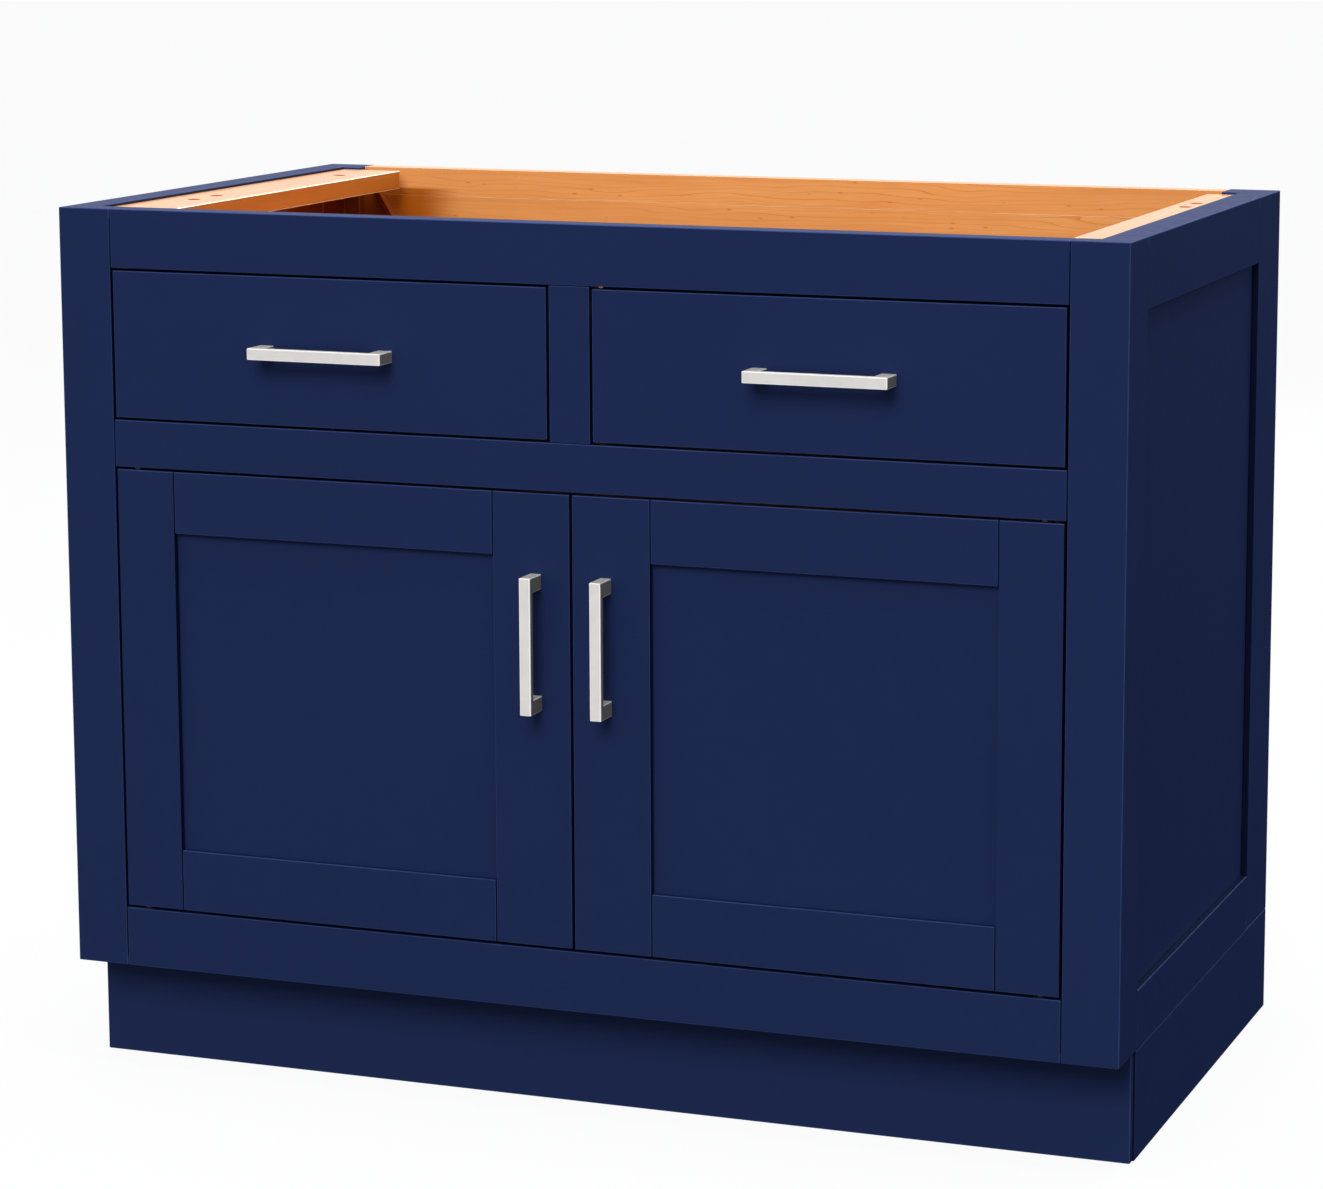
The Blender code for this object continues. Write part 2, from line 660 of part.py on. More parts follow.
def make_bush(side, end, rail, edge, way):
    """A nylon cup let into a rail of the face frame, which a door's pin turns in."""
    x = SIDES[side] * PIVOT_X
    name = f"door_{side}_{end}_bush"
    low, high = sorted((edge, edge + way * BUSH_DEPTH))
    bush = place(name, cylinder_mesh(name, x, PIVOT_SETBACK, low, high, BUSH_RADIUS))
    mouth = edge - way * BUSH_DEPTH
    low, high = sorted((mouth, edge + way * (PIN_DEPTH_IN_BUSH + TOUCHING_GAP)))
    drill(bush, x, PIVOT_SETBACK, low, high, PIN_RADIUS + TOUCHING_GAP)
    low, high = sorted((mouth, edge + way * (BUSH_DEPTH + TOUCHING_GAP)))
    drill(rail, x, PIVOT_SETBACK, low, high, BUSH_RADIUS + TOUCHING_GAP)
    return bush


def finish(objects, material):
    for obj in objects:
        obj.data.materials.append(material)


def build_cabinet():
    painted, wooden, nickel, steel, nylon = [], [], [], [], []
    rails = {name: make_face_rail(name, *levels) for name, levels in face_rails().items()}
    painted += [*rails.values(), make_face_mullion(), *make_base()]
    wooden += [make_cabinet_floor(), *make_back()]
    for side in SIDES:
        frame, panel = make_side(side)
        painted += [*frame, panel]
        wooden += [make_top_strip(side), make_slide_rail(side)]
        front, boards, guide, pull = make_drawer(side)
        painted.append(front)
        wooden += boards
        nylon.append(guide)
        nickel.append(pull)
        door, pins, pull = make_door(side)
        painted += door
        steel += pins
        nickel.append(pull)
        nylon.append(make_bush(side, "upper", rails["middle"], MIDDLE_RAIL_BOTTOM, 1))
        nylon.append(make_bush(side, "lower", rails["bottom"], BOTTOM_RAIL_TOP, -1))
    finish(painted, make_material("navy_paint", (0.013, 0.023, 0.076), 0.35))
    finish(wooden, make_material("maple", (0.74, 0.33, 0.105), 0.4))
    finish(nickel, make_material("satin_nickel", (0.62, 0.60, 0.57), 0.3, 1.0))
    finish(steel, make_material("pin_steel", (0.08, 0.08, 0.085), 0.4, 1.0))
    finish(nylon, make_material("nylon", (0.02, 0.02, 0.022), 0.5))


clear_scene()
build_cabinet()
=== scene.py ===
"""Looks for the bathroom vanity cabinet: satin navy paint outside, clear-coated maple inside, nickel pulls.

Metres, +Z up, -Y towards the viewer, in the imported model's frame. Every CAD node keeps its mesh and place:
it gets eased edges from modifiers and a node-based material. The pieces made here are the small fastenings.
"""

import json
from math import atan2, cos, pi, radians, sin

import bmesh
import bpy
from mathutils import Matrix, Vector


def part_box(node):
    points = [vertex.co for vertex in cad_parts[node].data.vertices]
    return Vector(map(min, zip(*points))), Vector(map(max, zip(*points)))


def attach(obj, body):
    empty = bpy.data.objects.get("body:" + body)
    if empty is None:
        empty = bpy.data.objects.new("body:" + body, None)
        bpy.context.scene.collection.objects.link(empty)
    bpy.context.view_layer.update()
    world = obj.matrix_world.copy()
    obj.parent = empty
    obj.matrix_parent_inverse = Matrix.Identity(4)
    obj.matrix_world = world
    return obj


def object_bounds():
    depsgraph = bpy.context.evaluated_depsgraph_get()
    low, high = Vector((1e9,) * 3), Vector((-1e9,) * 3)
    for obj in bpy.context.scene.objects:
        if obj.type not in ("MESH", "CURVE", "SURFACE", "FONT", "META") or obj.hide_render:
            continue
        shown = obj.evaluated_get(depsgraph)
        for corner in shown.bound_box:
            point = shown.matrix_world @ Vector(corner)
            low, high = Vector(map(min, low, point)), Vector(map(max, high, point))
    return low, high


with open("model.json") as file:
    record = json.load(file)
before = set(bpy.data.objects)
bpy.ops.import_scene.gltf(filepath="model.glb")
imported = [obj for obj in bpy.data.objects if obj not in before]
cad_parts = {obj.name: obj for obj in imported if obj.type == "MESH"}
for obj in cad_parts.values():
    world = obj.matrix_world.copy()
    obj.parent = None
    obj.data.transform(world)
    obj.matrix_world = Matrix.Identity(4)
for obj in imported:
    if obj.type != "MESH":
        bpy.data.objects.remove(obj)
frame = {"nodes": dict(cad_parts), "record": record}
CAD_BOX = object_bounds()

# Camera: metres, degrees, millimetres for the lens and sensor, and shares of the sensor for the shift
CAMERA_PLACE = (1.4347, -3.6984, 1.2083)
CAMERA_TILT_DOWN = 9.00
CAMERA_TURN_LEFT = 19.92
CAMERA_LENS = 106.84
CAMERA_SENSOR = 36.0
CAMERA_SHIFT = (-0.08, -0.08)

# Edges: radii in metres, and angles in degrees
PAINTED_EDGE = 0.0010
MAPLE_EDGE = 0.0009
BACK_EDGE = 0.0003
METAL_EDGE = 0.0010
SMALL_EDGE = 0.0003
EDGE_OF_SLOT = {
    "navy_paint": PAINTED_EDGE,
    "maple": MAPLE_EDGE,
    "satin_nickel": METAL_EDGE,
    "pin_steel": SMALL_EDGE,
    "nylon": SMALL_EDGE,
}
EDGE_SEGMENTS = 3
EDGE_ANGLE = 40
WELD_DISTANCE = 0.00002
FLAT_ANGLE = 0.5
SQUARE = 0.99

# Small fastenings: lengths in metres, turns in degrees, and shares of the screw head's size
SCREW_HEAD_RADIUS = 0.0043
SCREW_HEAD_HEIGHT = 0.0024
SCREW_HEAD_FLAT = 0.55
SCREW_HEAD_RIM = 0.35
SCREW_HEAD_STEPS = 7
SCREW_HEAD_SIDES = 32
SCREW_SINK = 0.0002
RECESS_ARM = 0.0021
RECESS_HALF_WIDTH = 0.0004
RECESS_DEPTH = 0.0013
RECESS_TAPER = 0.5
RECESS_TURNS = (20, 63)
PULL_SCREW_INSET = 0.0075
STOP_THICKNESS = 0.006
STOP_OVERLAP = 0.006
STOP_HEIGHT = 0.026
STOP_END_GAP = 0.003
BRACE_WIDTH = 0.007
BRACE_THICKNESS = 0.010
BRACE_RUN = 0.090
BRACE_DROP = 0.140
BRACE_START = 0.482
TOUCHING_GAP = 0.0003

# Colours, linear
NAVY = (0.0122, 0.0230, 0.0810)
NAVY_DEEP = (0.0115, 0.0217, 0.0770)
# Painted highlight, with some wear, on the paint's eased edges
NAVY_HIGHLIGHT_AND_WEAR = (0.027, 0.049, 0.150)
MAPLE_PALE = (0.80, 0.385, 0.138)
MAPLE_MID = (0.75, 0.335, 0.110)
MAPLE_DARK = (0.68, 0.280, 0.083)
MAPLE_LINE = (0.56, 0.165, 0.022)
# Painted highlight on the maple's eased edges
MAPLE_HIGHLIGHT_COLOUR = (0.98, 0.88, 0.72)
# Painted shade in and round the top strips' screw holes
MAPLE_HOLE_SHADE = (0.30, 0.050, 0.002)
NICKEL = (0.76, 0.735, 0.715)
STEEL = (0.035, 0.035, 0.037)
NYLON = (0.020, 0.020, 0.022)
PALE_FLOOR = (0.93, 0.93, 0.935)
WHITE_WALL = (0.945, 0.945, 0.95)

# Tints that multiply a colour, all but the first painted shade: on faces that look forward or across, in
# corners, on the braces, and on a pull's sides, top and bottom
UNTINTED = (1.0, 1.0, 1.0)
MAPLE_FRONT_SHADE = (0.93, 0.90, 0.82)
MAPLE_SIDE_SHADE = (0.58, 0.36, 0.06)
MAPLE_CORNER_SHADE = (0.50, 0.30, 0.06)
MAPLE_SHADED = (0.60, 0.42, 0.15)
METAL_SIDE_SHADE = (0.34, 0.32, 0.28)
METAL_LEVEL_SHADE = (0.72, 0.69, 0.63)

# Patterns, in features per metre: the same every way, or lengthwise and across
PAINT_CLOUD = 3.0
PAINT_MOTTLE = 55.0
PAINT_PEEL = 420.0
PAINT_DUST = 1500.0
PAINT_GRAIN = (7.0, 330.0)
MAPLE_BLOTCH = 9.0
MAPLE_FIGURE = (2.2, 24.0)
MAPLE_STREAK = (9.0, 210.0)
MAPLE_PORES = (55.0, 1300.0)
MAPLE_RINGS = (6.5, 50.0)
MAPLE_KNOTS = (55.0, 170.0)
METAL_CLOUD = 70.0
METAL_STROKE = (25.0, 2600.0)
NYLON_CLOUD = 300.0

# How far each pattern is moved by its seed, and each piece's patterns and rings, so that all differ
SEED_STEPS = (1.0, 0.7, 1.3)
PIECE_REACH = 60.0
RING_REACHES = (31.0, 17.0, 23.0)
RING_SETTINGS = {"Scale": 1.5, "Distortion": 19.0, "Detail": 2.0, "Detail Scale": 0.50}
KNOTTY_SHARE = 0.18
KNOT_DEPTH = 0.75

# The band of each pattern that is used: the value that counts as 0, and the one that counts as 1. Where four
# numbers stand, the last two are what those values count as instead.
NOISE_BAND = (0.3, 0.7)
PAINT_TONE_BAND = (0.32, 0.68)
# The mottle's band that sets how much painted highlight and wear each paint edge gets
PAINT_HIGHLIGHT_AND_WEAR_BAND = (0.25, 0.60, 0.55, 1.0)
PAINT_DUST_SHADES = (0.96, 1.05)
MAPLE_STOPS = (0.34, 0.50, 0.66)
PORE_BAND = (0.60, 0.72, 0.0, 0.35)
RING_BAND = (0.80, 1.0)
RING_FADE_BAND = (0.35, 0.60, 0.25, 0.70)
KNOT_BAND = (0.24, 0.08)
METAL_TONE_BAND = (0.35, 0.65)

# The weights that patterns are added with
PAINT_TONE_WEIGHTS = (0.6, 0.4)
PAINT_HEIGHT_WEIGHTS = (0.7, 0.5)
MAPLE_TONE_WEIGHTS = (0.45, 0.35, 0.20)
MAPLE_HEIGHT_WEIGHTS = (0.6, -0.5, -0.8)
METAL_TONE_WEIGHTS = (0.4, 0.6)

# Roughness, least and most
PAINT_ROUGHNESS = (0.44, 0.48)
MAPLE_ROUGHNESS = (0.34, 0.46)
PULL_ROUGHNESS = (0.29, 0.35)
PIN_ROUGHNESS = (0.30, 0.45)
NYLON_ROUGHNESS = (0.38, 0.52)

# Bumps: the height in metres, and the strength
PAINT_BUMP = (0.00005, 0.6)
MAPLE_BUMP = (0.00006, 0.6)
METAL_BUMP = (0.00002, 0.08)
NYLON_BUMP = (0.00004, 0.5)

# Shine
PAINT_SPECULAR = 0.05
MAPLE_SPECULAR = 0.35
COAT_ROUGHNESS = 0.20
COAT_ACROSS = 0.25
PULL_METALLIC = 0.72
DULL_METALLIC = 0.4
# How much brighter the painted highlight on metal edges is
METAL_HIGHLIGHT = 1.35
DARK_METAL = 0.93
DARK_NYLON = 0.9
# The share of painted highlight on maple edges
MAPLE_HIGHLIGHT_SHARE = 0.25

# How squarely a face looks along an axis, where 1 is exactly along it
FLAT_FACE = 0.975
FACE_ON = 0.8
MOSTLY = 0.7
ROUNDED = 0.6
TURNED = 0.5
COAT_TURN = (0.5, 0.9)

# Painted shade on faces turned into gaps and recesses: the share of the navy left there, and the share of
# that shade which light on a ledge takes off
GAP_SHADE_SHARE = 0.35
LEDGE_LIGHT = 0.25

# Light from the room on dull surfaces, and the upward directions between which it rises
AMBIENT_BELOW = 0.08
AMBIENT_ABOVE = 0.62
AMBIENT_RISE = (-0.10, 0.30)
# The directions between which the walls that gloss shows turn from dark to white: upwards, and to the front
WALL_RISE = (0.0, 0.16)
WALL_TURN = (0.25, -0.25)
FLOOR_REACH = 60.0
FLOOR_MATT = 0.05

# Softboxes: place, target, size and watts
SOFTBOXES = {
    "overhead": ((0.0, -0.1, 2.9), (0.0, 0.15, 0.5), (2.4, 1.4), 68),
    "front": ((0.7, -11.0, 8.0), (0.0, 0.0, 0.40), (6.0, 5.5), 1040),
    "low_front": ((0.7, -11.0, 0.3), (0.0, 0.0, 0.3), (6.0, 0.6), 100),
    "right": ((5.0, 0.2, 0.5), (0.0, 0.1, 0.45), (2.0, 0.8), 36),
    "rear": ((0.6, 4.4, 2.4), (0.0, 0.0, 0.5), (3.0, 2.0), 110),
}

AXES = "XYZ"
# A colour mix node's inputs and output, among those for other kinds of value
MIX_COLOURS = (6, 7)
MIX_RESULT = 2

# Reaches round the places below, in metres, and a distance past the whole cabinet
FACE_STEP = 0.002
GAP_MARGIN = 0.010
LEDGE_MARGIN = 0.020
CORNER_MARGIN = 0.015
CORNER_FADE = 0.060
RECESS_MARGIN = 0.0015
HOLE_REACH = 0.0070
FAR = 1.0

# Places in the cabinet, from the frame
CABINET_HALF = CAD_BOX[1][0]
CABINET_TOP = CAD_BOX[1][2]
FRAME_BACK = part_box("cabinet_floor")[0].y
BACK_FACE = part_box("back_panel")[0].y
STRIP_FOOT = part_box("top_strip_left")[0].z
STRIP_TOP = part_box("top_strip_left")[1].z
CORNER_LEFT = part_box("top_strip_left")[1].x + CORNER_MARGIN
CORNER_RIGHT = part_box("top_strip_right")[0].x - CORNER_MARGIN
INNER_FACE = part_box("top_strip_right")[1].x
PANEL_INNER_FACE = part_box("side_right_panel")[0].x - TOUCHING_GAP
PANEL_OUTER_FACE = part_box("side_right_panel")[1].x
SIDE_RECESS_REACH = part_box("rear_post_right")[0].y + RECESS_MARGIN
KICK_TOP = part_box("face_rail_bottom")[0].z
TOE_BOARD_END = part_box("toe_kick_front")[1].x
TOE_STEP = abs(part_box("toe_kick_right")[0].y)
DOOR_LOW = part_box("door_left_outer_stile")[0].z
DOOR_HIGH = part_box("door_left_outer_stile")[1].z


# Shader nodes


class Surface:
    """A material under construction: one Principled shader and the nodes that feed it."""

    def __init__(self, name):
        self.material = bpy.data.materials.new(name)
        self.material.use_nodes = True
        self.tree = self.material.node_tree
        self.tree.nodes.clear()
        self.shader = self.add("ShaderNodeBsdfPrincipled")
        output = self.add("ShaderNodeOutputMaterial")
        self.link(self.shader.outputs["BSDF"], output.inputs["Surface"])
        self.place = self.add("ShaderNodeTexCoord")
        self.piece = self.add("ShaderNodeObjectInfo").outputs["Random"]

    def add(self, kind, **settings):
        node = self.tree.nodes.new(kind)
        for name, value in settings.items():
            setattr(node, name, value)
        return node

    def link(self, source, target):
        self.tree.links.new(source, target)

    def feed(self, target, value):
        """Sets a socket to a number or colour, or links it to another socket."""
        if isinstance(value, bpy.types.NodeSocket):
            self.link(value, target)
        elif isinstance(value, tuple) and len(value) == 3 and target.type == "RGBA":
            target.default_value = (*value, 1)
        else:
            target.default_value = value

    def maths(self, operation, first, second, clamp=False):
        node = self.add("ShaderNodeMath", operation=operation, use_clamp=clamp)
        self.feed(node.inputs[0], first)
        self.feed(node.inputs[1], second)
        return node.outputs[0]

    def above(self, value, limit):
        """1 where a value is above a limit, and 0 elsewhere."""
        return self.maths("GREATER_THAN", value, limit)

    def below(self, value, limit):
        """1 where a value is below a limit, and 0 elsewhere."""
        return self.maths("LESS_THAN", value, limit)

    def both(self, first, second):
        """The product of two shares, which is 1 where both are."""
        return self.maths("MULTIPLY", first, second)

    def either(self, highest, *rest):
        """The highest of some values, which for shares is 1 where any of them is."""
        for share in rest:
            highest = self.maths("MAXIMUM", highest, share)
        return highest

    def weighted(self, weights, *values):
        """The sum of some values, each times its weight."""
        total, *rest = [self.maths("MULTIPLY", value, weight) for value, weight in zip(values, weights)]
        for part in rest:
            total = self.maths("ADD", total, part)
        return total

    def vector(self, operation, first, second=(0.0, 0.0, 0.0)):
        node = self.add("ShaderNodeVectorMath", operation=operation)
        self.feed(node.inputs[0], first)
        self.feed(node.inputs[1], second)
        return node.outputs[0]

    def mix(self, share, first, second, blend="MIX"):
        node = self.add("ShaderNodeMix", data_type="RGBA", blend_type=blend)
        self.feed(node.inputs["Factor"], share)
        for socket, colour in zip(MIX_COLOURS, (first, second)):
            self.feed(node.inputs[socket], colour)
        return node.outputs[MIX_RESULT]

    def tinted(self, share, colour, tint):
        """A colour, multiplied by a tint where the share is 1."""
        return self.mix(share, colour, self.mix(1.0, colour, tint, "MULTIPLY"))

    def dimmed(self, colour, share):
        """A colour times a plain number, which may vary over the surface."""
        grey = self.add("ShaderNodeCombineColor")
        for socket in grey.inputs:
            self.feed(socket, share)
        return self.mix(1.0, colour, grey.outputs[0], "MULTIPLY")

    def span(self, value, low, high, new_low=0.0, new_high=1.0):
        """The value moved from one range to another, and held inside it."""
        node = self.add("ShaderNodeMapRange", interpolation_type="SMOOTHSTEP")
        for socket, number in zip(node.inputs, (value, low, high, new_low, new_high)):
            self.feed(socket, number)
        return node.outputs[0]

    def mapped(self, per_metre, start=(0.0, 0.0, 0.0)):
        """The surface's place, scaled for a pattern with so many features per metre along each axis."""
        node = self.add("ShaderNodeMapping")
        self.link(self.place.outputs["Object"], node.inputs["Vector"])
        node.inputs["Scale"].default_value = per_metre
        node.inputs["Location"].default_value = start
        return node.outputs[0]

    def noise(self, per_metre, seed, detail=2.0, distortion=0.0):
        """Noise with so many features per metre along each axis. Each piece has its own pattern."""
        node = self.add("ShaderNodeTexNoise", noise_dimensions="4D")
        start = tuple(seed * step for step in SEED_STEPS)
        self.link(self.mapped(per_metre, start), node.inputs["Vector"])
        self.feed(node.inputs["W"], self.maths("MULTIPLY", self.piece, PIECE_REACH))
        node.inputs["Scale"].default_value = 1.0
        node.inputs["Detail"].default_value = detail
        node.inputs["Distortion"].default_value = distortion
        return node.outputs["Fac"]

    def parts(self, vector):
        """A vector's three numbers."""
        node = self.add("ShaderNodeSeparateXYZ")
        self.link(vector, node.inputs[0])
        return node.outputs

    def largest(self, vector):
        """The largest of a vector's three numbers."""
        return self.either(*self.parts(vector))

    def facing(self):
        """The surface's direction in the piece's own axes, with no signs."""
        return self.vector("ABSOLUTE", self.place.outputs["Normal"])

    def eased_edge(self):
        """1 on the rounding of an edge, and 0 on the flat faces, which all face along an axis."""
        return self.below(self.largest(self.facing()), FLAT_FACE)

    def just_outside(self):
        """The point a step out from the surface."""
        step = self.add("ShaderNodeVectorMath", operation="SCALE")
        self.link(self.place.outputs["Normal"], step.inputs[0])
        step.inputs["Scale"].default_value = FACE_STEP
        return self.vector("ADD", self.place.outputs["Object"], step.outputs[0])

    def within(self, point, lowest, highest):
        """1 where a point is inside a box, and 0 outside it."""
        lowest, highest = Vector(lowest), Vector(highest)
        offset = self.vector("SUBTRACT", point, tuple((lowest + highest) / 2))
        beyond = self.vector("SUBTRACT", self.vector("ABSOLUTE", offset), tuple((highest - lowest) / 2))
        return self.below(self.largest(beyond), 0.0)

    def bump(self, height, distance, strength):
        node = self.add("ShaderNodeBump")
        node.inputs["Distance"].default_value = distance
        node.inputs["Strength"].default_value = strength
        self.link(height, node.inputs["Height"])
        self.link(node.outputs[0], self.shader.inputs["Normal"])

    def set(self, **values):
        for name, value in values.items():
            self.feed(self.shader.inputs[name.replace("_", " ")], value)


def along(axis, lengthwise, across):
    """Features per metre for a pattern that runs lengthwise along an axis."""
    return tuple(lengthwise if letter == axis else across for letter in AXES)


def even(per_metre):
    """Features per metre for a pattern that is the same every way."""
    return (per_metre, per_metre, per_metre)


# Paint


def paint_look(surface, axis):
    """Colour, roughness and height of sprayed satin paint over wood whose grain runs along an axis."""
    cloud = surface.noise(even(PAINT_CLOUD), detail=3.0, seed=1.0)
    mottle = surface.noise(even(PAINT_MOTTLE), detail=3.0, seed=2.0)
    peel = surface.noise(even(PAINT_PEEL), detail=1.0, seed=3.0)
    grain = surface.noise(along(axis, *PAINT_GRAIN), seed=4.0)
    dust = surface.noise(even(PAINT_DUST), seed=5.0)
    shade = surface.weighted(PAINT_TONE_WEIGHTS, cloud, mottle)
    colour = surface.mix(surface.span(shade, *PAINT_TONE_BAND), NAVY_DEEP, NAVY)
    colour = surface.dimmed(colour, surface.span(dust, *NOISE_BAND, *PAINT_DUST_SHADES))
    # Painted highlight and some wear: a lighter navy on the eased edges, more where the mottle is high
    highlight_and_wear = surface.both(surface.eased_edge(), surface.span(mottle, *PAINT_HIGHLIGHT_AND_WEAR_BAND))
    colour = surface.mix(highlight_and_wear, colour, NAVY_HIGHLIGHT_AND_WEAR)
    # Painted shade: a dark navy on the faces in the gaps, joints and recesses
    shaded_navy = tuple(GAP_SHADE_SHARE * channel for channel in NAVY_DEEP)
    colour = surface.mix(painted_gap_shade(surface), colour, shaded_navy)
    rough = surface.span(mottle, *NOISE_BAND, *PAINT_ROUGHNESS)
    height = surface.weighted(PAINT_HEIGHT_WEIGHTS, peel, grain)
    return colour, rough, height


def painted_gap_shade(surface):
    """1 on faces turned into gaps, joints and recesses, which get painted shade, and 0 elsewhere."""
    place = surface.place.outputs["Object"]
    mirrored = surface.vector("ABSOLUTE", place)
    facing = surface.parts(surface.facing())
    upward = surface.above(surface.parts(surface.place.outputs["Normal"])[2], TURNED)
    return surface.either(
        in_front_gaps(surface, place, facing, upward),
        in_side_gaps(surface, mirrored, facing, upward),
        on_strip_lip(surface, mirrored, facing),
        on_toe_step(surface, mirrored, facing),
        in_kick_joint(surface, mirrored, facing),
    )


def in_front_gaps(surface, place, facing, upward):
    """Faces in the gaps, upright joints and recesses of the front. The recesses' ledges catch some light."""
    low = (-CABINET_HALF + GAP_MARGIN, -FAR, KICK_TOP + GAP_MARGIN)
    high = (CABINET_HALF - GAP_MARGIN, FRAME_BACK, CABINET_TOP - GAP_MARGIN)
    turned = surface.either(surface.below(facing[1], TURNED), surface.above(facing[0], ROUNDED))
    dark = surface.both(surface.within(place, low, high), turned)
    ledge_low = (-CABINET_HALF, -FAR, DOOR_LOW + LEDGE_MARGIN)
    ledge_high = (CABINET_HALF, FRAME_BACK, DOOR_HIGH - LEDGE_MARGIN)
    ledge = surface.both(surface.within(place, ledge_low, ledge_high), upward)
    return surface.maths("SUBTRACT", dark, surface.both(ledge, LEDGE_LIGHT), clamp=True)


def in_side_gaps(surface, mirrored, facing, upward):
    """Faces in the upright joints and recesses of the sides. The recesses' ledges catch some light."""
    low = (PANEL_OUTER_FACE - FACE_STEP, -SIDE_RECESS_REACH, KICK_TOP + GAP_MARGIN)
    high = (CABINET_HALF, SIDE_RECESS_REACH, CABINET_TOP - GAP_MARGIN)
    turned = surface.either(surface.below(facing[0], TURNED), surface.above(facing[1], ROUNDED))
    dark = surface.both(surface.within(mirrored, low, high), turned)
    return surface.maths("SUBTRACT", dark, surface.both(upward, LEDGE_LIGHT), clamp=True)


def on_strip_lip(surface, mirrored, facing):
    """The sides' inner faces that stand above the top strips."""
    low = (INNER_FACE - FACE_STEP, -FAR, STRIP_TOP - FACE_STEP)
    high = (INNER_FACE + FACE_STEP, FAR, FAR)
    return surface.both(surface.within(mirrored, low, high), surface.above(facing[0], TURNED))


def on_toe_step(surface, mirrored, facing):
    """The side boards' front ends, which show past the ends of the toe kick's front board."""
    low = (TOE_BOARD_END - FACE_STEP, TOE_STEP - FACE_STEP, -FACE_STEP)
    high = (CABINET_HALF, TOE_STEP + FACE_STEP, KICK_TOP)
    return surface.both(surface.within(mirrored, low, high), surface.above(facing[1], TURNED))


def in_kick_joint(surface, mirrored, facing):
    """The joint between each side and the toe kick's board below it."""
    low = (CABINET_HALF - FACE_STEP, -TOE_STEP, KICK_TOP - FACE_STEP)
    high = (CABINET_HALF, TOE_STEP, KICK_TOP + FACE_STEP)
    return surface.both(surface.within(mirrored, low, high), surface.above(facing[2], ROUNDED))


# Maple


def growth_lines(surface, axis):
    """1 on thin growth lines that run lengthwise and close into long arches, falling to 0 between them."""
    heart = surface.add("ShaderNodeCombineXYZ")
    for socket, reach in zip(heart.inputs, RING_REACHES):
        surface.feed(socket, surface.maths("MULTIPLY", surface.piece, reach))
    wave = surface.add("ShaderNodeTexWave", wave_type="RINGS", rings_direction=axis, wave_profile="SAW")
    place = surface.vector("ADD", surface.mapped(along(axis, *MAPLE_RINGS)), heart.outputs[0])
    surface.link(place, wave.inputs["Vector"])
    for name, value in RING_SETTINGS.items():
        wave.inputs[name].default_value = value
    return surface.span(wave.outputs["Fac"], *RING_BAND)


def pin_knots(surface, axis):
    """1 on small dark flecks, scattered and drawn out along the grain."""
    cells = surface.add("ShaderNodeTexVoronoi", feature="F1")
    cells.inputs["Scale"].default_value = 1.0
    surface.link(surface.mapped(along(axis, *MAPLE_KNOTS)), cells.inputs["Vector"])
    draw = surface.add("ShaderNodeSeparateColor")
    surface.link(cells.outputs["Color"], draw.inputs[0])
    chosen = surface.above(draw.outputs[0], 1 - KNOTTY_SHARE)
    return surface.both(chosen, surface.span(cells.outputs["Distance"], *KNOT_BAND))


def shaded_upper_corner(surface):
    """1 in the corners under the top strips, which get painted shade, fading towards the middle."""
    place = surface.parts(surface.place.outputs["Object"])
    left = surface.span(place[0], CORNER_LEFT + CORNER_FADE, CORNER_LEFT)
    right = surface.span(place[0], CORNER_RIGHT - CORNER_FADE, CORNER_RIGHT)
    under = surface.span(place[2], STRIP_FOOT + FACE_STEP, STRIP_FOOT - FACE_STEP)
    inside = surface.below(place[1], BACK_FACE + FACE_STEP)
    return surface.both(surface.both(surface.either(left, right), under), inside)


def maple_tone(surface, figure, streak, pores):
    """The wood's ground colour, from dark to pale, flecked with pores."""
    blotch = surface.noise(even(MAPLE_BLOTCH), seed=9.0)
    ramp = surface.add("ShaderNodeValToRGB")
    surface.link(surface.weighted(MAPLE_TONE_WEIGHTS, figure, streak, blotch), ramp.inputs[0])
    stops = ramp.color_ramp.elements
    stops[0].position, stops[1].position = MAPLE_STOPS[0], MAPLE_STOPS[2]
    stops.new(MAPLE_STOPS[1])
    for stop, colour in zip(stops, (MAPLE_DARK, MAPLE_MID, MAPLE_PALE)):
        stop.color = (*colour, 1)
    return surface.mix(surface.span(pores, *PORE_BAND), ramp.outputs[0], MAPLE_DARK)


def maple_look(surface, axis, side_shade=UNTINTED, highlight_share=MAPLE_HIGHLIGHT_SHARE):
    """Colour, roughness and height of clear-coated maple with its grain along an axis.

    The side shade is painted shade that deepens the faces that look across the cabinet.
    """
    figure = surface.noise(along(axis, *MAPLE_FIGURE), detail=4.0, distortion=0.6, seed=6.0)
    streak = surface.noise(along(axis, *MAPLE_STREAK), detail=3.0, seed=7.0)
    pores = surface.noise(along(axis, *MAPLE_PORES), seed=8.0)
    line = surface.both(growth_lines(surface, axis), surface.span(figure, *RING_FADE_BAND))
    colour = surface.mix(line, maple_tone(surface, figure, streak, pores), MAPLE_LINE)
    colour = surface.mix(surface.both(pin_knots(surface, axis), KNOT_DEPTH), colour, MAPLE_LINE)
    facing = surface.parts(surface.facing())
    # Painted shade on faces that look across the cabinet, and on those that look forward or back
    for socket, tint in zip(facing, (side_shade, MAPLE_FRONT_SHADE)):
        colour = surface.tinted(surface.above(socket, MOSTLY), colour, tint)
    # Painted highlight on the eased edges, in the share that each look gives
    colour = surface.mix(surface.both(surface.eased_edge(), highlight_share), colour, MAPLE_HIGHLIGHT_COLOUR)
    # Painted shade in the corners under the top strips
    colour = surface.tinted(shaded_upper_corner(surface), colour, MAPLE_CORNER_SHADE)
    rough = surface.span(streak, *NOISE_BAND, *MAPLE_ROUGHNESS)
    height = surface.weighted(MAPLE_HEIGHT_WEIGHTS, streak, pores, line)
    return colour, rough, height


